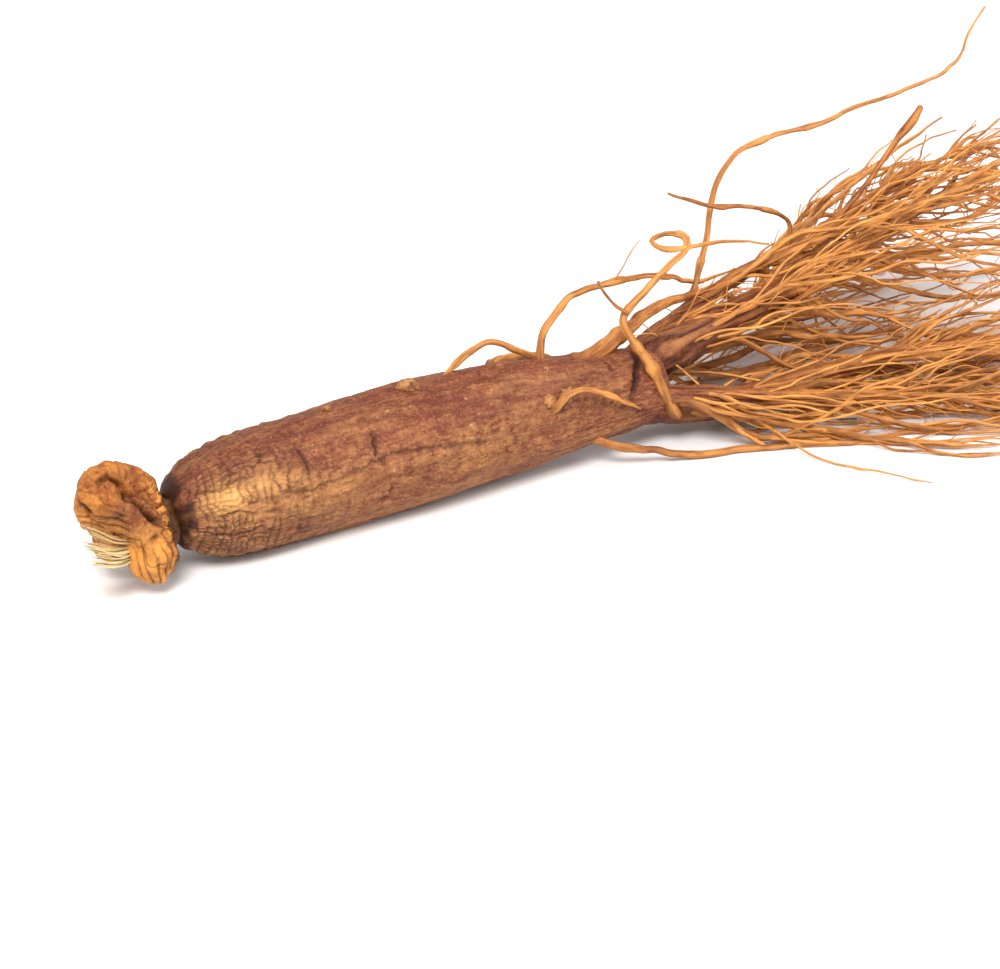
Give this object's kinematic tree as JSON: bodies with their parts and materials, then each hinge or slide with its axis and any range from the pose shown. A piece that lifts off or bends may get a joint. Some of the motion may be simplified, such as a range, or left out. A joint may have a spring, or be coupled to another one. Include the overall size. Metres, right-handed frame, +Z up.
{
  "type": "ginseng root",
  "caption": "Dried red ginseng root lying on its side: knobbly rhizome with torn stem fibres, stout ringed main root, and a spreading whisk of tail roots and rootlets.",
  "frame": {"origin": "in the flat resting spot under the belly of the main root, in the plane that the root lies on", "axes": "+X along the main root from the rhizome to the tail, +Z up from the surface that the root lies on, +Y to the far side"},
  "size_m": [0.2098, 0.0966, 0.0561],
  "materials": {
    "root_skin": null
  },
  "bodies": {
    "root": {"ginseng_root": "root_skin"}
  },
  "joints": []
}
